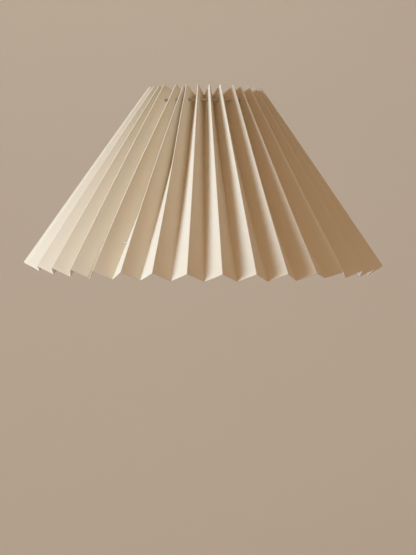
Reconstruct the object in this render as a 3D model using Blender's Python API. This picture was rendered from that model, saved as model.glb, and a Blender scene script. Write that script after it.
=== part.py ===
"""Pleated lamp shade on a tilting gimbal fitter.

Metres, +Z up. The origin is the centre of the fitter ring's underside, where the ring sits on a
lampholder. Two folded strips of stiffened cloth hang on a wire ring that runs through their punched
holes. Four ribs carry a lower ring that holds the folds open. Two arms hang the fitter ring from
riveted lugs on the wire ring, so the shade tilts about X.
"""

import math

import bmesh
import bpy
from mathutils import Matrix, Vector

# The pleated cover
PLEATS = 36  # ridges round the shade, a multiple of 4 so that one is on +X and one on -X
MOUTH_RADIUS = 0.225  # ridges at the hem
SLANT_LENGTH = 0.268  # height of the strip before folding
PANEL_WIDTH = 0.0246  # from a ridge to the next inner fold
CLOTH = 0.0006  # stiffened cloth
FOLD_NOSE = 0.0009  # flat across the outside of a sharp fold
ROWS = 6  # facets down a panel

# The wires
GATHER_WIRE = 0.0024
GATHER_RING_RADIUS = 0.0715
GATHER_RING_HEIGHT = 0.080  # above the fitter ring's underside
GATHER_DROP = 0.0195  # below the tips of the ridges
FRAME_WIRE = 0.0030
RIB_WIRE = 0.0020
LOWER_RING_LIFT = 0.040  # above the lowest tips of the hem
RIBS = 4
RIB_FOLD = 4  # ridge of the first rib, counted in half pleats from the front

# The seams of the two strips
SEAM_FOLD = -7  # inner fold where the first strip begins
LAP = 0.0185  # glued tab under the other strip's last panel
LAP_EDGE = 0.0030  # from the last panel's cut edge to the fold

# The thread ties that hold the cover to the lower ring
TIES = 4
TIE_FOLD = -5  # inner fold of the first tie
THREAD = 0.0009
TIE_REACH = 0.0030  # sideways from the fold to a punched hole
TIE_RISE = 0.0009  # of the stitch's end, past the hole

# The gimbal
FITTER_BORE = 0.042
FITTER_OUTSIDE = 0.058
FITTER_THICKNESS = 0.0015
PIVOT_HEIGHT = 0.072
STRIP = 0.0010  # steel strip of the lugs and arms
ARM_WIDTH = 0.008
LUG_WIDTH = 0.0024
LUG_ROOM = 0.00047  # either side of the lug inside its ridge, level with the gather ring
PIVOT_ROOM = 0.0086  # from the inner folds in to the lug's pivot tab
RIVET_SHANK = 0.0030
RIVET_HEAD = 0.0060
RIVET_HEAD_HEIGHT = 0.0012
WASHER_OUTSIDE = 0.0075
WASHER_THICKNESS = 0.0005

GAP = 0.0003  # between pieces that touch
HOLE_CLEARANCE = 0.0008  # all round a wire in its punched hole

HALF_PLEAT = math.pi / PLEATS
TOP_HEIGHT = GATHER_RING_HEIGHT + GATHER_DROP


def around(angle, radius, height):
    """A point at an angle from the front (-Y) towards +X."""
    return Vector((radius * math.sin(angle), -radius * math.cos(angle), height))


# ---- the folded cover ----


def fold_depth(ridge_radius, slope):
    """From a ridge square across to the inner fold, so that every panel keeps its width."""
    half = math.sin(HALF_PLEAT / 2) ** 2
    lean = 2 * ridge_radius * half * math.cos(slope)
    return lean + math.sqrt(lean**2 + PANEL_WIDTH**2 - 4 * ridge_radius**2 * half)


def ridge_room(slope):
    """Half the width inside a ridge where the lug's eye ends, if the ridges had this slope."""
    ridge = MOUTH_RADIUS - SLANT_LENGTH * math.sin(slope) + GATHER_DROP * math.tan(slope)
    inner = ridge - fold_depth(ridge, slope) / math.cos(slope)
    eye_end = GATHER_RING_RADIUS + GATHER_WIRE / 2 + GAP + STRIP
    return (ridge - eye_end) * inner * math.sin(HALF_PLEAT) / (ridge - inner * math.cos(HALF_PLEAT))


def cover_slope():
    """Slope of the ridges from the vertical: the steeper the cover, the more room the lugs have."""
    low, high = 0.0, math.pi / 3
    for _ in range(40):
        middle = (low + high) / 2
        if ridge_room(middle) > LUG_WIDTH / 2 + CLOTH / 2 + LUG_ROOM:
            low = middle
        else:
            high = middle
    return low


SLOPE = cover_slope()
TOP_RADIUS = MOUTH_RADIUS - SLANT_LENGTH * math.sin(SLOPE)


def fold_point(fold, s):
    """On fold line number fold, at share s of the way down. Even folds are ridges."""
    radius = TOP_RADIUS + SLANT_LENGTH * s * math.sin(SLOPE)
    height = TOP_HEIGHT - SLANT_LENGTH * s * math.cos(SLOPE)
    if fold % 2:
        depth = fold_depth(radius, SLOPE)
        radius -= depth * math.cos(SLOPE)
        height -= depth * math.sin(SLOPE)
    return around(fold * HALF_PLEAT, radius, height)


def hem_height():
    return fold_point(1, 1).z


def inner_fold_radius(height):
    """Radius of the inner fold line at a height."""
    low, high = 0.0, 1.0
    for _ in range(40):
        middle = (low + high) / 2
        if fold_point(1, middle).z > height:
            low = middle
        else:
            high = middle
    point = fold_point(1, low)
    return math.hypot(point.x, point.y)


def nose_setback(fold, s):
    """From a fold line back along its panel to where the flat nose starts."""
    spread = (fold_point(fold + 1, s) - fold_point(fold - 1, s)).length / 2
    return FOLD_NOSE / 2 * PANEL_WIDTH / spread


def lapped_fold(fold, s):
    """The strip's first fold, moved along its own panel so that the tab lies under the other strip."""
    here = fold_point(fold, s)
    along = (fold_point(fold + 1, s) - here).normalized()
    tab_way = (fold_point(fold - 1, s) - here).normalized()
    sine = along.cross(tab_way).length
    return here - along * (CLOTH + GAP) / sine, tab_way


def strip_point(first, last, column, s):
    """Where a column of the flat strip goes when it is folded. Columns 1 and 2 flank the first fold."""
    fold = first + (column - 1) // 2
    start, tab_way = lapped_fold(first, s)
    if column == 0:
        return start + tab_way * LAP
    if fold == first:
        way = tab_way if column == 1 else (fold_point(first + 1, s) - start).normalized()
        return start + way * nose_setback(fold, s)
    here = fold_point(fold, s)
    if fold == last:
        return here + (fold_point(fold - 1, s) - here).normalized() * (LAP if column % 2 else LAP_EDGE)
    towards = fold_point(fold - 1, s) if column % 2 else fold_point(fold + 1, s)
    return here + (towards - here).normalized() * nose_setback(fold, s)


def pleated_strip(name, first, punch, material):
    """A flat strip of grid, folded from inner fold first through half of the pleats."""
    last = first + PLEATS
    columns = 2 * (last - first) + 2
    mesh = bmesh.new()
    bmesh.ops.create_grid(mesh, x_segments=columns, y_segments=ROWS, size=0.5)
    for vertex in mesh.verts:
        column = round((vertex.co.x + 0.5) * columns)
        vertex.co = strip_point(first, last, column, 0.5 - vertex.co.y)
    piece = as_object(mesh, name, material)
    split = piece.modifiers.new("facets", "TRIANGULATE")
    split.quad_method = "FIXED"
    thick = piece.modifiers.new("cloth", "SOLIDIFY")
    thick.thickness = CLOTH
    thick.offset = 0
    thick.use_even_offset = True
    cut = piece.modifiers.new("punched", "BOOLEAN")
    cut.operation = "DIFFERENCE"
    cut.solver = "EXACT"
    cut.object = punch
    return piece


# ---- shared helpers ----


def material_named(name, colour, roughness, metallic=0.0):
    material = bpy.data.materials.new(name)
    material.use_nodes = True
    shader = material.node_tree.nodes["Principled BSDF"]
    shader.inputs["Base Color"].default_value = (*colour, 1)
    shader.inputs["Roughness"].default_value = roughness
    shader.inputs["Metallic"].default_value = metallic
    return material


def as_object(mesh, name, material=None, smooth=False):
    bmesh.ops.recalc_face_normals(mesh, faces=mesh.faces)
    data = bpy.data.meshes.new(name)
    mesh.to_mesh(data)
    mesh.free()
    if smooth:
        data.shade_smooth()
        data.set_sharp_from_angle(angle=math.radians(40))
    piece = bpy.data.objects.new(name, data)
    bpy.context.scene.collection.objects.link(piece)
    if material:
        data.materials.append(material)
    else:
        piece.hide_render = True
        piece.display_type = "WIRE"
    return piece


def add_ring(mesh, ring_radius, wire_radius, height, steps, sides=8, gap_angle=0.0):
    """A round wire bent to a ring about Z. A gap leaves it open at +X, with flat ends."""
    turn = Matrix.Rotation(gap_angle / 2, 4, "Z")
    middle = Matrix.Translation((ring_radius, 0, height)) @ Matrix.Rotation(math.pi / 2, 4, "X")
    section = bmesh.ops.create_circle(
        mesh, segments=sides, radius=wire_radius, cap_ends=gap_angle > 0, matrix=turn @ middle
    )
    edges = list({edge for vertex in section["verts"] for edge in vertex.link_edges})
    start = list({face for vertex in section["verts"] for face in vertex.link_faces})
    bmesh.ops.spin(
        mesh,
        geom=edges + start,
        cent=(0, 0, 0),
        axis=(0, 0, 1),
        angle=2 * math.pi - gap_angle,
        steps=steps,
        use_merge=gap_angle == 0,
    )


def add_cylinder(mesh, radius, start, end, sides=16):
    way = Vector(end) - Vector(start)
    place = Matrix.Translation((Vector(start) + Vector(end)) / 2)
    bmesh.ops.create_cone(
        mesh,
        cap_ends=True,
        segments=sides,
        radius1=radius,
        radius2=radius,
        depth=way.length,
        matrix=place @ way.to_track_quat("Z", "Y").to_matrix().to_4x4(),
    )


def turned(name, outline, material, place, steps=24, closed=False):
    """Spins an outline of (radius, height) points about its own Z, then places it."""
    mesh = bmesh.new()
    points = [mesh.verts.new((radius, 0, height)) for radius, height in outline]
    pairs = list(zip(points, points[1:]))
    if closed:
        pairs.append((points[-1], points[0]))
    edges = [mesh.edges.new(pair) for pair in pairs]
    bmesh.ops.spin(
        mesh,
        geom=points + edges,
        cent=(0, 0, 0),
        axis=(0, 0, 1),
        angle=2 * math.pi,
        steps=steps,
        use_merge=True,
    )
    bmesh.ops.remove_doubles(mesh, verts=mesh.verts, dist=1e-6)
    piece = as_object(mesh, name, material, smooth=True)
    piece.matrix_world = place
    return piece


def add_plate(mesh, outline, width, place):
    """A side outline of (x, z) points, given a width along Y and placed."""
    points = [mesh.verts.new(place @ Vector((x, -width / 2, z))) for x, z in outline]
    face = mesh.faces.new(points)
    grown = bmesh.ops.extrude_face_region(mesh, geom=[face])
    sides = [part for part in grown["geom"] if isinstance(part, bmesh.types.BMVert)]
    across = place.to_3x3() @ Vector((0, width, 0))
    bmesh.ops.translate(mesh, verts=sides, vec=across)


def arc(centre, radius, start, end, steps):
    """Points on an arc in the (x, z) plane, angles in degrees from +x."""
    found = []
    for step in range(steps + 1):
        angle = math.radians(start + (end - start) * step / steps)
        found.append((centre[0] + radius * math.cos(angle), centre[1] + radius * math.sin(angle)))
    return found


def wire_path(name, points, wire_radius, material, closed=False, resolution=2):
    """A round wire that follows points, with flat ends."""
    data = bpy.data.curves.new(name, "CURVE")
    data.dimensions = "3D"
    data.bevel_depth = wire_radius
    data.bevel_resolution = resolution
    data.use_fill_caps = True
    line = data.splines.new("POLY")
    line.points.add(len(points) - 1)
    line.use_cyclic_u = closed
    for target, point in zip(line.points, points):
        target.co = (*point, 1)
    data.materials.append(material)
    piece = bpy.data.objects.new(name, data)
    bpy.context.scene.collection.objects.link(piece)
    return piece


def subtract(piece, cutter):
    cut = piece.modifiers.new("hole", "BOOLEAN")
    cut.operation = "DIFFERENCE"
    cut.solver = "EXACT"
    cut.object = cutter


# ---- the frame ----


def lower_ring_place():
    """Radius and height of the lower ring, seated inside the inner folds."""
    height = hem_height() + LOWER_RING_LIFT
    seat = (FRAME_WIRE / 2 + CLOTH + GAP) / math.cos(SLOPE)
    return inner_fold_radius(height) - seat, height


def make_rings(steel):
    gather = bmesh.new()
    add_ring(
        gather,
        GATHER_RING_RADIUS,
        GATHER_WIRE / 2,
        GATHER_RING_HEIGHT,
        72,
        gap_angle=2 * GAP / GATHER_RING_RADIUS,
    )
    as_object(gather, "gather_ring", steel, smooth=True)
    radius, height = lower_ring_place()
    lower = bmesh.new()
    add_ring(lower, radius, FRAME_WIRE / 2, height, 72)
    as_object(lower, "lower_ring", steel, smooth=True)


def make_ribs(steel):
    """Each rib hooks round the gather ring inside a ridge and is welded on top of the lower ring."""
    ring_radius, ring_height = lower_ring_place()
    eye = GATHER_WIRE / 2 + GAP + RIB_WIRE / 2
    fall = Vector((ring_radius - GATHER_RING_RADIUS, ring_height - GATHER_RING_HEIGHT))
    lean = math.degrees(math.atan2(fall.y, fall.x))
    # The straight leg leaves the eye's inner side along the line between the two rings.
    loop = arc((GATHER_RING_RADIUS, GATHER_RING_HEIGHT), eye, lean + 180 + 90 - 290, lean + 180 + 90, 12)
    leave = Vector(loop[-1])
    weld = Vector((ring_radius, ring_height)) - leave
    weld *= 1 - (FRAME_WIRE / 2 + GAP) / weld.length
    leg = [leave + weld * share for share in (0.5, 1.0)]
    outline = loop + [tuple(point) for point in leg]
    for index in range(RIBS):
        angle = (RIB_FOLD + 2 * round(index * PLEATS / RIBS)) * HALF_PLEAT
        points = [around(angle, radius, height) for radius, height in outline]
        wire_path(f"rib_{index + 1}", points, RIB_WIRE / 2, steel)


def tie_outline(fold_out):
    """Half of a tie, from the middle of the outside stitch round behind the lower ring."""
    wrap = FRAME_WIRE / 2 + GAP + THREAD / 2
    return [
        (0.0, fold_out, 0.0),
        (TIE_REACH * 1.5, fold_out, TIE_RISE),
        (TIE_REACH * 1.75, fold_out - TIE_REACH * 0.3, 0.7 * wrap),
        (TIE_REACH * 1.45, 0.2 * fold_out, 1.05 * wrap),
        (TIE_REACH * 0.6, -0.55 * wrap, 1.05 * wrap),
        (TIE_REACH * 0.15, -1.0 * wrap, 0.6 * wrap),
    ]


def tie_stitch():
    """Radius and height of the stitches outside an inner fold."""
    radius, height = lower_ring_place()
    slack = math.tan(HALF_PLEAT) * radius
    opening = fold_depth(radius, SLOPE) * math.cos(SLOPE) / slack
    return inner_fold_radius(height) + TIE_REACH * opening, height


def make_ties(thread):
    """Thread loops that take in the lower ring and the inner fold, through a hole either side of it."""
    stitch_radius, height = tie_stitch()
    ring_radius, _ = lower_ring_place()
    half = tie_outline(stitch_radius - ring_radius)
    other = [(-x, y, -z) for x, y, z in half[1:]]
    loop = smooth_loop([*half, *reversed(other)], 2)
    for index in range(TIES):
        angle = (TIE_FOLD + 2 * round(index * PLEATS / TIES)) * HALF_PLEAT
        turn = Matrix.Translation(around(angle, ring_radius, height)) @ Matrix.Rotation(angle, 4, "Z")
        points = [turn @ Vector((x, -y, z)) for x, y, z in loop]
        wire_path(f"hem_tie_{index + 1}", points, THREAD / 2, thread, closed=True, resolution=1)


def smooth_loop(points, steps):
    """A closed curve through points."""
    found = []
    count = len(points)
    for index in range(count):
        before, here, after, beyond = (Vector(points[(index + k) % count]) for k in (-1, 0, 1, 2))
        for step in range(steps):
            t = step / steps
            found.append(
                here
                + (after - before) * 0.5 * t
                + (before * 2 - here * 5 + after * 4 - beyond) * 0.5 * t**2
                + (here * 3 - before - after * 3 + beyond) * 0.5 * t**3
            )
    return found


def make_punch():
    """Everything that is punched out of the strips: the gather ring's path and the ties' holes."""
    mesh = bmesh.new()
    add_ring(mesh, GATHER_RING_RADIUS, GATHER_WIRE / 2 + HOLE_CLEARANCE, GATHER_RING_HEIGHT, 72)
    radius, height = tie_stitch()
    for index in range(TIES):
        angle = (TIE_FOLD + 2 * round(index * PLEATS / TIES)) * HALF_PLEAT
        middle = around(angle, radius, height)
        side = around(angle + math.pi / 2, TIE_REACH * 1.5, TIE_RISE)
        add_cylinder(mesh, THREAD / 2 + HOLE_CLEARANCE, middle - side, middle + side, sides=8)
    return as_object(mesh, "punch")


# ---- the gimbal ----


def pivot_reach():
    """From the axis out to the lug's pivot tab, which stays clear of the inner folds."""
    return inner_fold_radius(PIVOT_HEIGHT + ARM_WIDTH / 2 + STRIP) - PIVOT_ROOM


def mirrored(side):
    """Places a piece that is made on +X: side 1 keeps it there, side -1 turns it to -X."""
    return Matrix.Rotation(0 if side > 0 else math.pi, 4, "Z")


def pivot_axis_place(side):
    """Turns a piece made along +Z to point outwards along the pivot axis."""
    return mirrored(side) @ Matrix.Translation((0, 0, PIVOT_HEIGHT)) @ Matrix.Rotation(math.pi / 2, 4, "Y")


def make_lug(name, side, steel):
    """A strip closed round the gather ring inside a ridge, with a tab turned down for the pivot."""
    inner = GATHER_WIRE / 2 + GAP
    outer = inner + STRIP
    ring = (GATHER_RING_RADIUS, GATHER_RING_HEIGHT)
    top = GATHER_RING_HEIGHT + outer
    bend = 2 * STRIP
    reach = pivot_reach()
    corner = (reach + bend, top - bend)
    outline = [
        *arc(ring, outer, 90, -150, 14),
        *arc(ring, inner, -150, 80, 14),
        (ring[0] - outer, top - STRIP),
        *arc(corner, bend - STRIP, 90, 180, 4),
        (reach + STRIP, PIVOT_HEIGHT + ARM_WIDTH / 2),
        (reach, PIVOT_HEIGHT + ARM_WIDTH / 2),
        *arc(corner, bend, 180, 90, 4),
    ]
    mesh = bmesh.new()
    add_plate(mesh, outline, LUG_WIDTH, mirrored(side))
    lug = as_object(mesh, name, steel, smooth=True)
    tab = bmesh.new()
    low, high = PIVOT_HEIGHT, PIVOT_HEIGHT + ARM_WIDTH / 2 + STRIP
    add_tab(tab, reach, low, high, mirrored(side))
    tab = as_object(tab, name + "_tab")
    join = lug.modifiers.new("tab", "BOOLEAN")
    join.operation = "UNION"
    join.solver = "EXACT"
    join.object = tab
    subtract(lug, pivot_drill(name, side))


def add_tab(mesh, reach, middle, high, place):
    """A plate square to X with a round lower end about the pivot."""
    half = ARM_WIDTH / 2
    rim = arc((0, middle), half, 180, 360, 10)
    outline = [*rim, (half, high), (-half, high)]
    points = [mesh.verts.new(place @ Vector((reach, y, z))) for y, z in outline]
    face = mesh.faces.new(points)
    grown = bmesh.ops.extrude_face_region(mesh, geom=[face])
    moved = [part for part in grown["geom"] if isinstance(part, bmesh.types.BMVert)]
    bmesh.ops.translate(mesh, verts=moved, vec=place.to_3x3() @ Vector((STRIP, 0, 0)))


def pivot_drill(name, side):
    mesh = bmesh.new()
    start = mirrored(side) @ Vector((pivot_reach() - 3 * ARM_WIDTH / 4, 0, PIVOT_HEIGHT))
    end = mirrored(side) @ Vector((pivot_reach() + ARM_WIDTH / 2, 0, PIVOT_HEIGHT))
    add_cylinder(mesh, RIVET_SHANK / 2 + GAP, start, end, sides=24)
    return as_object(mesh, name + "_drill")


def pivot_stack():
    """Distances from the axis along the pivot: the arm's inner face, and the washer's."""
    washer = pivot_reach() - GAP - WASHER_THICKNESS
    return washer - GAP - STRIP, washer


def make_arm(name, side, steel):
    """A strip from the pivot down to a foot welded on the fitter ring."""
    reach, _ = pivot_stack()
    foot_inner = FITTER_BORE / 2 + STRIP
    foot_outer = FITTER_OUTSIDE / 2 - 2 * STRIP
    low = FITTER_THICKNESS + GAP
    shoulder = PIVOT_HEIGHT - ARM_WIDTH / 2 - STRIP
    slant = Vector((reach - foot_outer, shoulder - low)).normalized()
    across = Vector((slant.y, -slant.x)) * STRIP
    outline = [
        (reach, PIVOT_HEIGHT),
        (reach, shoulder),
        (foot_outer, low + STRIP),
        (foot_inner, low + STRIP),
        (foot_inner, low),
        (foot_outer + across.x, low),
        (reach + STRIP, shoulder - across.y * 0.3),
        (reach + STRIP, PIVOT_HEIGHT),
    ]
    mesh = bmesh.new()
    add_plate(mesh, outline, ARM_WIDTH, mirrored(side))
    arm = as_object(mesh, name, steel)
    eye = bmesh.new()
    start = mirrored(side) @ Vector((reach, 0, PIVOT_HEIGHT))
    end = mirrored(side) @ Vector((reach + STRIP, 0, PIVOT_HEIGHT))
    add_cylinder(eye, ARM_WIDTH / 2, start, end, sides=32)
    join = arm.modifiers.new("eye", "BOOLEAN")
    join.operation = "UNION"
    join.solver = "EXACT"
    join.object = as_object(eye, name + "_eye")
    subtract(arm, pivot_drill(name, side))


def make_rivet(name, side, steel):
    """A domed head outside the lug, a shank through the stack and a closed end inside the arm."""
    arm_face, _ = pivot_stack()
    outside = pivot_reach() + STRIP + GAP
    inside = arm_face - GAP
    head, shank = RIVET_HEAD / 2, RIVET_SHANK / 2
    outline = [
        (0, inside - RIVET_HEAD_HEIGHT),
        (0.7 * head, inside - RIVET_HEAD_HEIGHT),
        (0.85 * head, inside - 0.4 * RIVET_HEAD_HEIGHT),
        (0.85 * head, inside),
        (shank, inside),
        (shank, outside),
        (head, outside),
        (0.92 * head, outside + 0.5 * RIVET_HEAD_HEIGHT),
        (0.6 * head, outside + 0.9 * RIVET_HEAD_HEIGHT),
        (0, outside + RIVET_HEAD_HEIGHT),
    ]
    turned(name, outline, steel, pivot_axis_place(side), steps=16)


def make_washer(name, side, steel):
    _, face = pivot_stack()
    hole, edge = RIVET_SHANK / 2 + GAP, WASHER_OUTSIDE / 2
    outline = [(hole, face), (edge, face), (edge, face + WASHER_THICKNESS), (hole, face + WASHER_THICKNESS)]
    turned(name, outline, steel, pivot_axis_place(side), steps=16, closed=True)


def make_fitter(steel):
    hole, edge, top = FITTER_BORE / 2, FITTER_OUTSIDE / 2, FITTER_THICKNESS
    round_off = top / 4
    outline = [
        (hole, round_off),
        (hole + round_off, 0),
        (edge - round_off, 0),
        (edge, round_off),
        (edge, top - round_off),
        (edge - round_off, top),
        (hole + round_off, top),
        (hole, top - round_off),
    ]
    turned("fitter_ring", outline, steel, Matrix.Identity(4), steps=48, closed=True)


# ---- the whole shade ----


def hang_on_pivot():
    """Everything but the fitting turns with the shade, about an empty on the pivot axis."""
    pivot = bpy.data.objects.new("tilt_pivot", None)
    bpy.context.scene.collection.objects.link(pivot)
    pivot.location = (0, 0, PIVOT_HEIGHT)
    for piece in bpy.data.objects:
        fixed = piece.hide_render or piece.name.startswith(("fitter", "gimbal_arm"))
        if piece is not pivot and not fixed:
            piece.parent = pivot
            piece.matrix_parent_inverse = Matrix.Translation((0, 0, -PIVOT_HEIGHT))


def main():
    for old in list(bpy.data.objects):
        bpy.data.objects.remove(old)
    cloth = material_named("cream_cloth", (0.83, 0.76, 0.64), 0.85)
    wire = material_named("bright_wire", (0.62, 0.61, 0.60), 0.28, 1.0)
    fitting = material_named("zinc_plate", (0.70, 0.69, 0.66), 0.38, 1.0)
    thread = material_named("cream_thread", (0.88, 0.83, 0.72), 0.8)
    punch = make_punch()
    pleated_strip("pleated_strip_a", SEAM_FOLD, punch, cloth)
    pleated_strip("pleated_strip_b", SEAM_FOLD + PLEATS, punch, cloth)
    make_rings(wire)
    make_ribs(wire)
    make_ties(thread)
    for side, word in ((1, "right"), (-1, "left")):
        make_lug(f"pivot_lug_{word}", side, fitting)
        make_arm(f"gimbal_arm_{word}", side, fitting)
        make_rivet(f"pivot_rivet_{word}", side, fitting)
        make_washer(f"pivot_washer_{word}", side, fitting)
    make_fitter(fitting)
    hang_on_pivot()


main()
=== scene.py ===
import math
import random

import bmesh
import bpy
from mathutils import Matrix, Vector, noise


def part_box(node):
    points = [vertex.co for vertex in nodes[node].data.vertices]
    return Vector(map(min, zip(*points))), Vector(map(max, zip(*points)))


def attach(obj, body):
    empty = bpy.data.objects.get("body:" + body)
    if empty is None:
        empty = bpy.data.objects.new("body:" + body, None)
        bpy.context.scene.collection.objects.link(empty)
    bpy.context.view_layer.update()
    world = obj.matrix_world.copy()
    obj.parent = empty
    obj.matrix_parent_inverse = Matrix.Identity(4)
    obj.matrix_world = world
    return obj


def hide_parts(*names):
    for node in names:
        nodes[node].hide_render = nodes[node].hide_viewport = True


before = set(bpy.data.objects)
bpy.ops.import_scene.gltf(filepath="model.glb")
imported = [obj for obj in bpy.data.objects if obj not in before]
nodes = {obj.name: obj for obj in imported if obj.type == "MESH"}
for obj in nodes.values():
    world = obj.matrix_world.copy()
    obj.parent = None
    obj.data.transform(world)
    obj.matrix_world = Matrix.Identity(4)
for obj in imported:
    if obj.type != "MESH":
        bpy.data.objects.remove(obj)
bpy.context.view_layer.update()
print("frame loaded:", len(nodes), "nodes")


def ringSizes(name):
    # of a ring that lies flat: its height, and the radii of its wire and of the ring
    low, high = (Vector(corner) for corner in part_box(name))
    wireRadius = (high.z - low.z) / 2
    return {"height": (low.z + high.z) / 2, "wire": wireRadius, "radius": high.x - wireRadius}


gatherRing, lowerRing = ringSizes("gather_ring"), ringSizes("lower_ring")


def addNode(tree, kind, inputs=None, **settings):
    node = tree.nodes.new(kind)
    for name, value in settings.items():
        setattr(node, name, value)
    for socket, value in (inputs or {}).items():
        if isinstance(value, bpy.types.NodeSocket):
            tree.links.new(value, node.inputs[socket])
        else:
            node.inputs[socket].default_value = value
    return node


def calc(tree, operation, first, second=0.5, third=0.5):
    return addNode(tree, "ShaderNodeMath", {0: first, 1: second, 2: third}, operation=operation).outputs[0]


def mixColours(tree, share, first, second):
    return addNode(tree, "ShaderNodeMix", {0: share, 6: first, 7: second}, data_type="RGBA").outputs[2]


def noiseField(tree, place, scale, detail=2.0):
    return addNode(tree, "ShaderNodeTexNoise", {"Vector": place, "Scale": scale, "Detail": detail}).outputs


def ramp(tree, value, fromLow, fromHigh, toLow=0.0, toHigh=1.0):
    node = addNode(
        tree,
        "ShaderNodeMapRange",
        {"Value": value, "From Min": fromLow, "From Max": fromHigh, "To Min": toLow, "To Max": toHigh},
        interpolation_type="SMOOTHSTEP",
    )
    return node.outputs["Result"]


def newGroup(name, inputs, outputs):
    group = bpy.data.node_groups.new(name, "ShaderNodeTree")
    for socket, kind, value in inputs:
        made = group.interface.new_socket(name=socket, in_out="INPUT", socket_type=kind)
        if value is not None:
            made.default_value = value
    for socket, kind in outputs:
        group.interface.new_socket(name=socket, in_out="OUTPUT", socket_type=kind)
    return group, group.nodes.new("NodeGroupInput").outputs, group.nodes.new("NodeGroupOutput").inputs


def placeGroup(tree, group, inputs):
    return addNode(tree, "ShaderNodeGroup", inputs, node_tree=group).outputs


def newMaterial(name):
    material = bpy.data.materials.new(name)
    material.use_nodes = True
    tree = material.node_tree
    return material, tree, tree.nodes["Principled BSDF"]


def addBump(tree, shader, strength, distance, height):
    bump = addNode(tree, "ShaderNodeBump", {"Strength": strength, "Distance": distance, "Height": height})
    tree.links.new(bump.outputs[0], shader.inputs["Normal"])


def newPiece(name, tool, *materials):
    # the mesh of a bmesh as an object in the scene
    data = bpy.data.meshes.new(name)
    tool.to_mesh(data)
    tool.free()
    for material in materials:
        data.materials.append(material)
    piece = bpy.data.objects.new(name, data)
    bpy.context.scene.collection.objects.link(piece)
    return piece


weaveSizes = {
    "threads": 1900.0,  # in a metre
    "wander": 0.0011,  # how far a thread strays, in metres
    "wanderScale": 140.0,
    "warpSlubs": (620.0, 26.0, 1.0),  # noise squeezed across the threads, so the slubs are long
    "weftSlubs": (32.0, 560.0, 1.0),
}


def makeWeave():
    # plain weave seen flat: warp and weft humps that take turns, uneven threads, and slubs
    group, given, out = newGroup(
        "plainWeave",
        [
            ("Flat", "NodeSocketVector", None),
            ("Threads per metre", "NodeSocketFloat", weaveSizes["threads"]),
            ("Slub", "NodeSocketFloat", 1.0),
        ],
        [("Height", "NodeSocketFloat"), ("Tone", "NodeSocketFloat")],
    )
    bendy = noiseField(group, given["Flat"], weaveSizes["wanderScale"], 1.0)["Color"]
    stray = (weaveSizes["wander"], weaveSizes["wander"], 0.0)
    pushed = addNode(group, "ShaderNodeVectorMath", {0: bendy, 1: stray}, operation="MULTIPLY")
    moved = addNode(group, "ShaderNodeVectorMath", {0: given["Flat"], 1: pushed.outputs[0]}, operation="ADD")
    split = addNode(group, "ShaderNodeSeparateXYZ", {0: moved.outputs[0]})
    half = calc(group, "MULTIPLY", given["Threads per metre"], math.pi)
    across = calc(group, "MULTIPLY", split.outputs[0], half)
    along = calc(group, "MULTIPLY", split.outputs[1], half)
    warp = calc(group, "ABSOLUTE", calc(group, "SINE", across))
    weft = calc(group, "ABSOLUTE", calc(group, "SINE", along))
    over = calc(
        group,
        "MULTIPLY",
        calc(group, "SINE", calc(group, "ADD", across, math.pi / 2)),
        calc(group, "SINE", calc(group, "ADD", along, math.pi / 2)),
    )
    share = calc(group, "MULTIPLY_ADD", over, 0.5, 0.5)
    hump = addNode(group, "ShaderNodeMix", {0: share, 2: warp, 3: weft}).outputs[0]
    thickness = []
    for stretch in (weaveSizes["warpSlubs"], weaveSizes["weftSlubs"]):
        drawn = addNode(group, "ShaderNodeMapping", {"Vector": given["Flat"], "Scale": stretch}).outputs[0]
        thickness.append(noiseField(group, drawn, 1.0, 3.0)["Fac"])
    slubs = calc(group, "ADD", *thickness)
    lifted = calc(group, "MULTIPLY", calc(group, "SUBTRACT", slubs, 1.0), given["Slub"])
    group.links.new(calc(group, "ADD", hump, lifted), out["Height"])
    group.links.new(calc(group, "MULTIPLY_ADD", lifted, 0.9, 0.5), out["Tone"])
    return group


def makeFoldLines():
    # how near a point of the flat strip is to a ridge or to an inner fold
    group, given, out = newGroup(
        "foldLines",
        [
            ("Flat", "NodeSocketVector", None),
            ("Panel", "NodeSocketFloat", 0.0246),
            ("Reach", "NodeSocketFloat", 0.0012),
        ],
        [("Ridge", "NodeSocketFloat"), ("Inner fold", "NodeSocketFloat")],
    )
    split = addNode(group, "ShaderNodeSeparateXYZ", {0: given["Flat"]})
    foldMarkWobble = noiseField(group, given["Flat"], 170.0, 4.0)["Fac"]
    uneven = calc(group, "MULTIPLY_ADD", foldMarkWobble, 0.9, 0.55)
    reach = calc(group, "MULTIPLY", given["Reach"], uneven)
    toInner = calc(group, "PINGPONG", split.outputs[0], given["Panel"])
    shifted = calc(group, "ADD", split.outputs[0], given["Panel"])
    toRidge = calc(group, "PINGPONG", shifted, given["Panel"])
    for name, distance in (("Ridge", toRidge), ("Inner fold", toInner)):
        group.links.new(ramp(group, distance, 0.0, reach, 1.0, 0.0), out[name])
    return group


def makeHandling():
    # broad, faint unevenness of a thing that has hung for a while
    group, given, out = newGroup(
        "handling",
        [("Place", "NodeSocketVector", None), ("Scale", "NodeSocketFloat", 9.0)],
        [("Broad", "NodeSocketFloat"), ("Fine", "NodeSocketFloat")],
    )
    fineScale = calc(group, "MULTIPLY", given["Scale"], 34.0)
    group.links.new(noiseField(group, given["Place"], given["Scale"], 2.0)["Fac"], out["Broad"])
    group.links.new(noiseField(group, given["Place"], fineScale, 5.0)["Fac"], out["Fine"])
    return group


weave, foldLines, handling = makeWeave(), makeFoldLines(), makeHandling()

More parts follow.
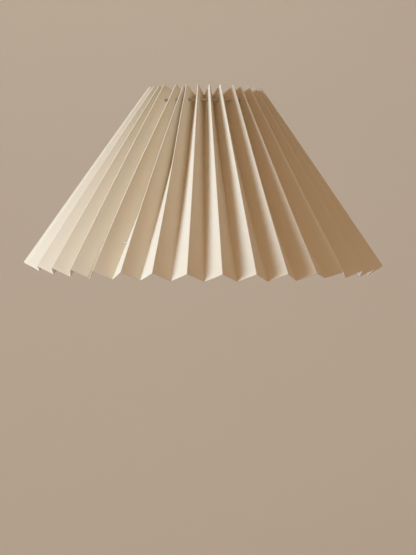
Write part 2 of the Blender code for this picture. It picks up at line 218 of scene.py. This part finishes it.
clothLook = {
    "cream": (0.86, 0.77, 0.62, 1),
    "shade": (0.79, 0.685, 0.52, 1),
    "slub": (0.89, 0.82, 0.70, 1),
    # colour of the ridges' crease wear and painted highlight
    "ridgeWearAndHighlight": (0.92, 0.87, 0.79, 1),
    # colour of the painted shade in the inner folds
    "valleyShade": (0.66, 0.57, 0.43, 1),
    "slubShare": 0.38,
    "valleyShadeShare": 0.28,  # painted shade in the inner folds
    "ridgeWearAndHighlightShare": 0.6,  # on the ridges: crease wear and a painted highlight
    "roughness": 0.78,
    "bump": 0.00011,
}


def scatterLight(shader):
    # light that seeps through the cloth and its film for about a millimetre
    shader.inputs["Subsurface Weight"].default_value = 0.3
    shader.inputs["Subsurface Radius"].default_value = (1.0, 0.65, 0.4)
    shader.inputs["Subsurface Scale"].default_value = 0.0012


def makeCloth():
    material, tree, shader = newMaterial("creamCloth")
    flat = addNode(tree, "ShaderNodeUVMap", uv_map="flat").outputs["UV"]
    threads = placeGroup(tree, weave, {"Flat": flat})
    folds = placeGroup(tree, foldLines, {"Flat": flat})
    hung = placeGroup(tree, handling, {"Place": flat})
    cream = mixColours(tree, ramp(tree, hung["Broad"], 0.35, 0.68), clothLook["cream"], clothLook["shade"])
    cream = mixColours(tree, 0.88, cream, clothLook["cream"])
    colour = cream
    for mask, share, tint in (
        (ramp(tree, threads["Tone"], 0.2, 0.8), "slubShare", "slub"),
        # painted shade darkens the inner folds
        (folds["Inner fold"], "valleyShadeShare", "valleyShade"),
        # the ridges get crease wear and a painted highlight
        (folds["Ridge"], "ridgeWearAndHighlightShare", "ridgeWearAndHighlight"),
    ):
        colour = mixColours(tree, calc(tree, "MULTIPLY", mask, clothLook[share]), colour, clothLook[tint])
    tree.links.new(colour, shader.inputs["Base Color"])
    rough = calc(tree, "MULTIPLY_ADD", hung["Fine"], 0.12, clothLook["roughness"])
    tree.links.new(rough, shader.inputs["Roughness"])
    addBump(tree, shader, 0.55, clothLook["bump"], threads["Height"])
    shader.inputs["Specular IOR Level"].default_value = 0.25
    shader.inputs["Sheen Weight"].default_value = 0.12
    shader.inputs["Sheen Roughness"].default_value = 0.5
    scatterLight(shader)
    return material


filmLook = {
    "white": (0.86, 0.83, 0.77, 1),
    "aged": (0.82, 0.78, 0.70, 1),
    "creased": (0.90, 0.88, 0.83, 1),
    "crease": 0.0009,  # how far a fold whitens the film
    "roughness": 0.42,
    "bump": 0.00006,
}


def makeLining():
    # the white film that the cloth is laminated on
    material, tree, shader = newMaterial("whiteFilm")
    flat = addNode(tree, "ShaderNodeUVMap", uv_map="flat").outputs["UV"]
    hung = placeGroup(tree, handling, {"Place": flat, "Scale": 14.0})
    folds = placeGroup(tree, foldLines, {"Flat": flat, "Reach": filmLook["crease"]})
    film = mixColours(tree, ramp(tree, hung["Broad"], 0.3, 0.7), filmLook["white"], filmLook["aged"])
    creased = calc(tree, "MULTIPLY", calc(tree, "MAXIMUM", folds["Ridge"], folds["Inner fold"]), 0.5)
    tree.links.new(mixColours(tree, creased, film, filmLook["creased"]), shader.inputs["Base Color"])
    rough = calc(tree, "MULTIPLY_ADD", hung["Fine"], 0.2, filmLook["roughness"])
    tree.links.new(rough, shader.inputs["Roughness"])
    addBump(tree, shader, 0.2, filmLook["bump"], hung["Fine"])
    shader.inputs["Specular IOR Level"].default_value = 0.35
    scatterLight(shader)
    return material


edgeLook = {"film": (0.90, 0.86, 0.78, 1), "threads": (0.78, 0.70, 0.58, 1), "roughness": 0.6, "bump": 0.0001}


def makeCutEdge():
    # film and cut thread ends, seen on the thickness of the cloth
    material, tree, shader = newMaterial("cutEdge")
    place = addNode(tree, "ShaderNodeTexCoord").outputs["Object"]
    hung = placeGroup(tree, handling, {"Place": place, "Scale": 60.0})
    edge = mixColours(tree, ramp(tree, hung["Fine"], 0.35, 0.65), edgeLook["film"], edgeLook["threads"])
    tree.links.new(edge, shader.inputs["Base Color"])
    rough = calc(tree, "MULTIPLY_ADD", hung["Fine"], 0.2, edgeLook["roughness"])
    tree.links.new(rough, shader.inputs["Roughness"])
    addBump(tree, shader, 0.5, edgeLook["bump"], hung["Fine"])
    return material


metalLooks = {
    "brightWire": {
        "bright": (0.60, 0.59, 0.58, 1),
        "dull": (0.33, 0.30, 0.27, 1),
        "roughness": 0.20,
        "marks": (900, 900, 900),
        "bump": 0.00003,
    },
    "zincPlate": {
        "bright": (0.66, 0.65, 0.62, 1),
        "dull": (0.46, 0.44, 0.40, 1),
        "roughness": 0.30,
        "marks": (260, 2200, 260),  # rolling marks, long in x and z
        "bump": 0.00005,
    },
}


def makeMetal(name):
    look = metalLooks[name]
    material, tree, shader = newMaterial(name)
    place = addNode(tree, "ShaderNodeTexCoord").outputs["Object"]
    drawn = addNode(tree, "ShaderNodeMapping", {"Vector": place, "Scale": look["marks"]}).outputs[0]
    lines = noiseField(tree, drawn, 1.0, 4.0)["Fac"]
    hung = placeGroup(tree, handling, {"Place": place, "Scale": 45.0})
    tarnish = ramp(tree, hung["Broad"], 0.42, 0.72)
    colour = mixColours(tree, calc(tree, "MULTIPLY", tarnish, 0.7), look["bright"], look["dull"])
    tree.links.new(colour, shader.inputs["Base Color"])
    shader.inputs["Metallic"].default_value = 1.0
    rough = calc(tree, "MULTIPLY_ADD", lines, 0.16, look["roughness"])
    tree.links.new(calc(tree, "MULTIPLY_ADD", tarnish, 0.14, rough), shader.inputs["Roughness"])
    addBump(tree, shader, 0.4, look["bump"], lines)
    return material


threadLook = {
    # colour of the painted shade between the plies
    "plyGrooveShade": (0.62, 0.54, 0.42, 1),
    "ply": (0.90, 0.85, 0.75, 1),
    "plies": 2,
    "twist": 3400,  # how fast the plies turn along the thread
    "bump": 0.00012,
}


def makeThread():
    # two plies twisted together, with painted shade in the groove between them
    material, tree, shader = newMaterial("creamThread")
    flat = addNode(tree, "ShaderNodeUVMap", uv_map="thread").outputs["UV"]
    split = addNode(tree, "ShaderNodeSeparateXYZ", {0: flat}).outputs
    along = calc(tree, "MULTIPLY", split[1], threadLook["twist"])
    turn = calc(tree, "MULTIPLY_ADD", split[0], 2 * math.pi * threadLook["plies"], along)
    ply = calc(tree, "ABSOLUTE", calc(tree, "SINE", turn))
    fuzz = noiseField(tree, addNode(tree, "ShaderNodeTexCoord").outputs["Object"], 2600.0)["Fac"]
    # painted shade in the groove between the plies
    colour = mixColours(tree, ramp(tree, ply, 0.0, 0.7), threadLook["plyGrooveShade"], threadLook["ply"])
    tree.links.new(colour, shader.inputs["Base Color"])
    tree.links.new(calc(tree, "MULTIPLY_ADD", fuzz, 0.2, 0.7), shader.inputs["Roughness"])
    addBump(tree, shader, 0.8, threadLook["bump"], calc(tree, "MULTIPLY_ADD", fuzz, 0.3, ply))
    shader.inputs["Sheen Weight"].default_value = 0.3
    return material


cloth, lining, cutEdge, thread = makeCloth(), makeLining(), makeCutEdge(), makeThread()
wire, zinc = makeMetal("brightWire"), makeMetal("zincPlate")
print("materials made")

cover = {
    "ridges": 36,
    "hemRadius": 0.225,
    "slope": math.radians(34.8),  # of the ridges, from the vertical
    "slant": 0.268,  # height of the strip before folding
    "panel": 0.0246,  # from a ridge to the next inner fold
    "gatherDrop": 0.0195,  # from the ridges' tips down to the wire
    "cloth": 0.0006,  # thickness with its film
    "foldRadius": 0.00042,
    "foldHalf": 0.0012,  # of the flat strip, bent into a fold
    "foldSteps": 6,
    "panelSteps": 5,
    "rows": 46,
    "bow": 0.00055,  # of a panel between its folds
    "bowBias": 0.35,  # more panels bow outwards than inwards
    "seamFold": -7,  # folds count from 0 at the front ridge; odd ones are inner folds
    "lap": 0.0185,  # glued width
    "lapEdge": 0.0030,  # how far the covering edge stays from the fold
    "lapOffset": 0.00078,
    "holeClearance": 0.00055,
    "hiddenSlide": (2.4, 0.9),  # most that an unseen ridge has slid on the wire and at the hem, degrees
    "heldHem": 0.3,  # share of that at the hem of a ridge held at the wire
}
cover["topRadius"] = cover["hemRadius"] - cover["slant"] * math.sin(cover["slope"])
cover["topHeight"] = gatherRing["height"] + cover["gatherDrop"]

# how far a ridge has slid along the wire, and at the hem, in degrees; ridge 0 is at the front
slidRidges = {
    -10: (0.8, 0.0),
    -9: (0.0, 0.5),
    -8: (0.0, 1.7),
    -7: (0.0, 2.8),
    -6: (2.4, 3.7),
    -5: (1.5, 3.5),
    -4: (-0.3, 2.5),
    -3: (5.1, 1.3),
    -2: (2.6, 0.8),
    -1: (-3.8, 0.4),
    0: (-2.0, 0.4),
    1: (-0.8, 0.4),
    2: (0.0, 0.2),
    3: (3.8, -0.1),
    4: (2.3, -0.2),
    5: (3.8, 1.0),
    6: (5.5, 1.5),
    7: (3.5, 1.4),
    8: (0.0, 0.9),
    9: (0.0, 0.3),
}
hardwareRidges = {11, 20}  # held in place by a rib or a lug
besideHardware = {10: 0, 12: 1, 19: -1, 21: 1}  # these may slide only away from it

drift = {}
chance = random.Random(11)
for ridge in range(cover["ridges"]):
    top, hem = (chance.uniform(-most, most) for most in cover["hiddenSlide"])
    fromFront = ridge if ridge < cover["ridges"] / 2 else ridge - cover["ridges"]
    if fromFront in slidRidges:
        top, hem = slidRidges[fromFront]
    elif ridge in hardwareRidges:
        top, hem = 0.0, hem * cover["heldHem"]
    elif ridge in besideHardware:
        top = abs(top) * besideHardware[ridge]
    drift[ridge] = (top, hem)


def foldAngle(fold, share):
    if fold % 2:
        return (foldAngle(fold - 1, share) + foldAngle(fold + 1, share)) / 2
    top, hem = drift[(fold // 2) % cover["ridges"]]
    degrees = fold // 2 * 360 / cover["ridges"] + top * (1 - share) ** 3 + hem * share
    return math.radians(degrees)


def around(angle, radius, height):
    return Vector((radius * math.sin(angle), -radius * math.cos(angle), height))


def foldPoint(fold, share):
    lean = Vector((math.sin(cover["slope"]), math.cos(cover["slope"])))
    radius = cover["topRadius"] + cover["slant"] * share * lean.x
    height = cover["topHeight"] - cover["slant"] * share * lean.y
    if fold % 2:
        half = (foldAngle(fold + 1, share) - foldAngle(fold - 1, share)) / 2
        sag = math.sin(half / 2) ** 2
        part = 2 * radius * sag * lean.y
        depth = part + math.sqrt(part**2 + cover["panel"] ** 2 - 4 * radius**2 * sag)
        radius -= depth * lean.y
        height -= depth * lean.x
    return around(foldAngle(fold, share), radius, height)


def stripCorners(first, last, share):
    # the strip's sharp corners: tab edge, folds, and the far edge
    points = [foldPoint(fold, share) for fold in range(first, last + 1)]
    along = (points[1] - points[0]).normalized()
    tabWay = (foldPoint(first - 1, share) - points[0]).normalized()
    start = points[0] - along * cover["lapOffset"] / along.cross(tabWay).length
    end = points[-1] + (points[-2] - points[-1]).normalized() * cover["lapEdge"]
    return [start + tabWay * cover["lap"], start, *points[1:-1], end]


def roundedFold(before, corner, after):
    # points on a small arc that takes the corner off, from one panel to the next
    back, onward = (before - corner).normalized(), (after - corner).normalized()
    half = back.angle(onward) / 2
    middle, side = (back + onward).normalized(), (onward - back).normalized()
    radius = cover["foldRadius"]
    centre = corner + middle * radius / math.sin(half)
    sweep = math.pi / 2 - half
    found = []
    for step in range(cover["foldSteps"] + 1):
        turn = sweep * (2 * step / cover["foldSteps"] - 1)
        found.append(centre - middle * radius * math.cos(turn) + side * radius * math.sin(turn))
    return found


def flatColumns(first, last):
    # where each column of the grid lies across the flat strip; a fold at every multiple of the panel
    found = [-cover["lap"]]
    panel, half = cover["panel"], cover["foldHalf"]
    for index in range(last - first + 1):
        place = index * panel
        if index:
            spread = panel - 2 * half
            start = place - panel + half
            found += [
                start + spread * step / cover["panelSteps"] for step in range(1, cover["panelSteps"])
            ]
        if index == last - first:
            found.append(place - cover["lapEdge"])
        else:
            steps = cover["foldSteps"]
            found += [place + half * (2 * step / steps - 1) for step in range(steps + 1)]
    return found


def foldedRow(first, last, share):
    corners = stripCorners(first, last, share)
    row = [corners[0]]
    for index in range(1, len(corners)):
        isEnd = index == len(corners) - 1
        bent = [corners[index]] if isEnd else roundedFold(*corners[index - 1 : index + 2])
        if index > 1:
            start, end = row[-1], bent[0]
            normal = (end - start).cross(foldPoint(first, 1) - foldPoint(first, 0)).normalized()
            isLap = index == 2 or index >= len(corners) - 2
            wave = noise.noise(Vector((index * 1.7 + first, share * 2.2, 4.0))) + cover["bowBias"]
            bow = 0 if isLap else cover["bow"] * wave
            for step in range(1, cover["panelSteps"]):
                along = step / cover["panelSteps"]
                row.append(start.lerp(end, along) + normal * bow * math.sin(math.pi * along))
        row += bent
    return row


def makeStrip(name, first):
    last = first + cover["ridges"]
    flat = flatColumns(first, last)
    rows = cover["rows"]
    folded = [foldedRow(first, last, row / rows) for row in range(rows + 1)]
    strip = bmesh.new()
    bmesh.ops.create_grid(strip, x_segments=len(flat) - 1, y_segments=rows, size=0.5)
    flatMap = strip.loops.layers.uv.new("flat")
    grid = {}
    for vertex in strip.verts:
        grid[vertex] = (round((vertex.co.x + 0.5) * (len(flat) - 1)), round((0.5 - vertex.co.y) * rows))
    for face in strip.faces:
        face.smooth = True
        for loop in face.loops:
            column, row = grid[loop.vert]
            loop[flatMap].uv = (flat[column], cover["slant"] * (1 - row / rows))
    for vertex, (column, row) in grid.items():
        vertex.co = folded[row][column]
    strip.normal_update()
    outwardFaces = 0
    for face in strip.faces:
        outward = Vector((*face.calc_center_median().xy, 0.1))
        outwardFaces += 1 if face.normal.dot(outward) > 0 else -1
    if outwardFaces < 0:
        bmesh.ops.reverse_faces(strip, faces=strip.faces)
    piece = newPiece(name, strip, cloth, lining, cutEdge)
    thick = piece.modifiers.new("cloth and film", "SOLIDIFY")
    thick.thickness = cover["cloth"]
    thick.offset = 0
    thick.use_even_offset = True
    thick.material_offset = 1
    thick.material_offset_rim = 2
    return piece


def spinRound(tool, geometry, steps):
    turn = {"axis": (0, 0, 1), "cent": (0, 0, 0), "angle": 2 * math.pi}
    bmesh.ops.spin(tool, geom=geometry, steps=steps, use_merge=True, **turn)


def makePunch():
    # the wire's path and the tie holes, as one cutter
    tool = bmesh.new()
    radius = gatherRing["wire"] + cover["holeClearance"]
    place = Matrix.Translation((gatherRing["radius"], 0, gatherRing["height"]))
    upright = Matrix.Rotation(math.pi / 2, 4, "X")
    circle = bmesh.ops.create_circle(tool, segments=16, radius=radius, matrix=place @ upright)
    edges = list({edge for vertex in circle["verts"] for edge in vertex.link_edges})
    spinRound(tool, edges, 180)
    for spot in tieSpots():
        way = spot["across"] * tie["reach"] * tie["holeLength"] + Vector((0, 0, tie["rise"]))
        turn = way.to_track_quat("Z", "Y").to_matrix().to_4x4()
        bmesh.ops.create_cone(
            tool,
            cap_ends=True,
            segments=12,
            radius1=tie["hole"],
            radius2=tie["hole"],
            depth=2 * way.length,
            matrix=Matrix.Translation(spot["stitch"]) @ turn,
        )
    bmesh.ops.recalc_face_normals(tool, faces=tool.faces)
    return newPiece("punch", tool, cutEdge)


tie = {
    "fold": -5,  # the first one's inner fold
    "count": 4,
    "thread": 0.0005,  # radius
    "reach": 0.0048,  # from the fold to the stitch's holes
    "rise": 0.0010,
    "hole": 0.0009,
    "holeLength": 1.5,  # in reaches, so the cutter passes through both panels
    "knot": 1.9,  # in thread radii
    "tail": (0.0026, 0.0016, 0.0042),  # sideways, inwards and down
    "tailStart": (0.0006, 0.0004),
}


def tieSpots():
    # where each stitch crosses its inner fold, level with the lower ring
    found = []
    for index in range(tie["count"]):
        fold = tie["fold"] + index * 2 * cover["ridges"] // tie["count"]
        low, high = 0.0, 1.0
        for _ in range(30):
            middle = (low + high) / 2
            isAbove = foldPoint(fold, middle).z > lowerRing["height"]
            low, high = (middle, high) if isAbove else (low, middle)
        corner = foldPoint(fold, low)
        ridgeGap = (foldPoint(fold + 1, low) - foldPoint(fold - 1, low)).length / 2
        outward = Vector((corner.x, corner.y, 0)).normalized()
        depth = foldPoint(fold + 1, low).xy.dot(outward.xy) - corner.xy.length
        across = Vector((-outward.y, outward.x, 0))
        found.append(
            {
                "angle": foldAngle(fold, low),
                "outward": outward,
                "across": across,
                "stitch": corner + outward * tie["reach"] * depth / ridgeGap,
                "ring": outward * lowerRing["radius"] + Vector((0, 0, lowerRing["height"])),
            }
        )
    return found


def bakeModifiers(piece):
    graph = bpy.context.evaluated_depsgraph_get()
    seen = piece.evaluated_get(graph)
    baked = bpy.data.meshes.new_from_object(seen, preserve_all_data_layers=True, depsgraph=graph)
    piece.modifiers.clear()
    piece.data = baked


punch = makePunch()
strips = []
for name, skipped in (("pleatsFront", 0), ("pleatsBack", cover["ridges"])):
    strip = makeStrip(name, cover["seamFold"] + skipped)
    cut = strip.modifiers.new("punched", "BOOLEAN")
    cut.operation = "DIFFERENCE"
    cut.solver = "EXACT"
    cut.object = punch
    bakeModifiers(strip)
    even = strip.modifiers.new("even shading", "WEIGHTED_NORMAL")
    even.weight = 80
    strips.append(strip)
    print(name, "folded and punched:", len(strip.data.polygons), "faces")
bpy.data.objects.remove(punch)

for strip, node in zip(strips, ("pleated_strip_a", "pleated_strip_b")):
    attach(strip, "shade")
    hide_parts(node)


def smoothLoop(points, steps):
    found = []
    for index in range(len(points)):
        before, here, after, beyond = (points[(index + shift) % len(points)] for shift in (-1, 0, 1, 2))
        for step in range(steps):
            t = step / steps
            found.append(
                here
                + (after - before) * 0.5 * t
                + (before * 2 - here * 5 + after * 4 - beyond) * 0.5 * t**2
                + (here * 3 - before - after * 3 + beyond) * 0.5 * t**3
            )
    return found


def threadTube(tool, path, radius, closed, mapLayer):
    # a round thread along a path, with its own flat map: turn round the thread, length along it
    sides = 10
    rings = []
    count = len(path)
    lengths = [0.0]
    for index in range(1, count + 1):
        lengths.append(lengths[-1] + (path[index % count] - path[index - 1]).length)
    for index, point in enumerate(path):
        before = path[index - 1] if closed or index else point
        after = path[(index + 1) % count] if closed or index < count - 1 else point
        turn = (after - before).to_track_quat("Z", "Y").to_matrix().to_4x4()
        if rings:  # keep each ring turned like the last one
            lastX = rings[-1][1] @ Vector((1, 0, 0))
            way = (after - before).normalized()
            x = (lastX - way * lastX.dot(way)).normalized()
            turn = Matrix((x, way.cross(x), way)).transposed().to_4x4()
        place = Matrix.Translation(point) @ turn
        made = bmesh.ops.create_circle(tool, segments=sides, radius=radius, matrix=place)
        rings.append((made["verts"], turn.to_3x3()))
    for index in range(count if closed else count - 1):
        first, second = rings[index][0], rings[(index + 1) % count][0]
        shift = 0
        if index == count - 1:
            shift = min(range(sides), key=lambda k: (first[0].co - second[k].co).length)
        for side in range(sides):
            a, b = first[side], first[(side + 1) % sides]
            c, d = second[(side + 1 + shift) % sides], second[(side + shift) % sides]
            face = tool.faces.new((a, b, c, d))
            face.smooth = True
            turns = (side, side + 1, side + 1, side)
            ends = (lengths[index], lengths[index], lengths[index + 1], lengths[index + 1])
            for loop, part, length in zip(face.loops, turns, ends):
                loop[mapLayer].uv = (part / sides, length)
    if not closed:
        tool.faces.new(rings[0][0])
        tool.faces.new(rings[-1][0])


def makeTie(name, spot):
    wrap = lowerRing["wire"] + tie["thread"]
    out = (spot["stitch"] - spot["ring"]).dot(spot["outward"])
    reach = tie["reach"]
    half = [  # across, outwards and up, from the ring's centre line
        (0.0, out, 0.0),
        (reach * 1.0, out, tie["rise"] * 0.67),
        (reach * 1.15, out * 0.72, wrap * 0.75),
        (reach * 0.95, 0.1 * out, 1.08 * wrap),
        (reach * 0.5, -0.62 * wrap, 0.88 * wrap),
        (reach * 0.15, -1.05 * wrap, 0.2 * wrap),
    ]
    outline = half + [(-x, y, -z) for x, y, z in reversed(half[1:])]
    points = [
        spot["ring"] + spot["across"] * x + spot["outward"] * y + Vector((0, 0, z)) for x, y, z in outline
    ]
    tool = bmesh.new()
    mapLayer = tool.loops.layers.uv.new("thread")
    threadTube(tool, smoothLoop(points, 7), tie["thread"], True, mapLayer)
    knot = spot["ring"] - spot["outward"] * (1.05 * wrap + tie["thread"] * 1.4)
    turn = Matrix.Rotation(spot["angle"], 4, "Z")
    place, radius = Matrix.Translation(knot) @ turn, tie["thread"] * tie["knot"]
    made = bmesh.ops.create_uvsphere(tool, u_segments=14, v_segments=10, radius=radius, matrix=place)
    for face in {face for vertex in made["verts"] for face in vertex.link_faces}:
        face.smooth = True
        for loop in face.loops:
            local = turn.inverted() @ (loop.vert.co - knot)
            loop[mapLayer].uv = (local.x * 400, local.z)
    sideways, inwards, down = tie["tail"]
    besideKnot, behindKnot = tie["tailStart"]
    for side in (-1, 1):  # the two cut tails
        tail = [
            knot
            + spot["across"] * side * (besideKnot + sideways * t)
            - spot["outward"] * (behindKnot + inwards * t)
            - Vector((0, 0, down * t * t))
            for t in (0, 0.25, 0.5, 0.75, 1)
        ]
        threadTube(tool, tail, tie["thread"] * 0.8, False, mapLayer)
    bmesh.ops.recalc_face_normals(tool, faces=tool.faces)
    return newPiece(name, tool, thread)


for index, spot in enumerate(tieSpots()):
    piece = makeTie(f"hemTie{index + 1}", spot)
    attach(piece, "shade")
    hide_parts(f"hem_tie_{index + 1}")
print("thread ties made")

for name, node in nodes.items():
    if name.startswith(("pleated", "hem_tie")):
        continue
    finish = wire if name.startswith(("gather", "lower", "rib")) else zinc
    node.data.materials.clear()
    node.data.materials.append(finish)
print("frame finished")

room = {
    "floor": -1.6,
    "floorRadius": 2.3,
    "wallRadius": 4.2,
    "wallHeight": 3.0,
    "bendSteps": 12,  # of the curve from floor to wall
    "colour": (0.74, 0.68, 0.62, 1),
}


def makeRoom():
    bowl = bmesh.new()
    bend = room["wallRadius"] - room["floorRadius"]
    outline = [(0.0, room["floor"]), (room["floorRadius"], room["floor"])]
    for step in range(1, room["bendSteps"] + 1):
        turn = math.pi / 2 * step / room["bendSteps"]
        outline.append(
            (room["floorRadius"] + bend * math.sin(turn), room["floor"] + bend * (1 - math.cos(turn)))
        )
    outline.append((room["wallRadius"], room["floor"] + room["wallHeight"] + bend))
    points = [bowl.verts.new((radius, 0, height)) for radius, height in outline]
    edges = [bowl.edges.new(pair) for pair in zip(points, points[1:])]
    spinRound(bowl, points + edges, 64)
    bmesh.ops.remove_doubles(bowl, verts=bowl.verts, dist=0.0001)
    bmesh.ops.recalc_face_normals(bowl, faces=bowl.faces)
    for face in bowl.faces:
        face.smooth = True
    bowl.normal_update()
    if sum(face.normal.z for face in bowl.faces) < 0:
        bmesh.ops.reverse_faces(bowl, faces=bowl.faces)
    material, tree, shader = newMaterial("paleFloor")
    shader.inputs["Base Color"].default_value = room["colour"]
    shader.inputs["Roughness"].default_value = 0.9
    shader.inputs["Specular IOR Level"].default_value = 0.1
    newPiece("room", bowl, material)


makeRoom()

view = {
    "distance": 1.7085,
    "azimuth": math.radians(5),
    "eyeHeight": -0.0252,
    "pitch": math.radians(-3.812),
    "yaw": math.radians(-0.201),
    "roll": math.radians(0.62),
    "lens": 87.75,
}
cameraData = bpy.data.cameras.new("camera")
cameraData.sensor_fit = "VERTICAL"
cameraData.sensor_height = 36
cameraData.lens = view["lens"]
cameraData.clip_start = 0.05
camera = bpy.data.objects.new("camera", cameraData)
bpy.context.scene.collection.objects.link(camera)
camera.matrix_world = (
    Matrix.Translation(around(view["azimuth"], view["distance"], view["eyeHeight"]))
    @ Matrix.Rotation(view["azimuth"] + view["yaw"], 4, "Z")
    @ Matrix.Rotation(math.pi / 2 + view["pitch"], 4, "X")
    @ Matrix.Rotation(view["roll"], 4, "Z")
)
bpy.context.scene.camera = camera

# places are an azimuth in degrees from the camera's, a distance from the shade's axis and a height
lights = {
    "key": {
        "place": (-60, 3.0, 0.12),
        "aim": (0, 0.0, -0.02),
        "size": (1.3, 1.4),
        "watts": 90.4,
        "colour": (0.72, 0.856, 1.0),
    },
    "wall": {
        "place": (-168, 2.0, 1.9),
        "aim": (-173, 4.2, -0.35),
        "size": (1.6, 1.0),
        "watts": 10.8,
        "colour": (0.86, 1.0, 0.78),
    },
}
fill = {"colour": (1.0, 0.632, 0.34, 1), "strength": 0.475}  # warm light that comes back from a room


def fromCamera(azimuth, distance, height):
    return around(view["azimuth"] + math.radians(azimuth), distance, height)


def makeLight(name, values):
    data = bpy.data.lights.new(name, "AREA")
    data.shape = "RECTANGLE"
    data.size, data.size_y = values["size"]
    data.energy = values["watts"]
    data.color = values["colour"]
    lamp = bpy.data.objects.new(name, data)
    bpy.context.scene.collection.objects.link(lamp)
    lamp.location = fromCamera(*values["place"])
    aim = fromCamera(*values["aim"]) - lamp.location
    lamp.rotation_euler = aim.to_track_quat("-Z", "Y").to_euler()
    lamp.visible_camera = False


for name, values in lights.items():
    makeLight(name, values)

world = bpy.data.worlds.new("soft fill")
world.use_nodes = True
background = world.node_tree.nodes["Background"].inputs
background["Color"].default_value = fill["colour"]
background["Strength"].default_value = fill["strength"]
bpy.context.scene.world = world
bpy.context.scene.view_settings.view_transform = "Standard"
print("room, lights and camera ready")
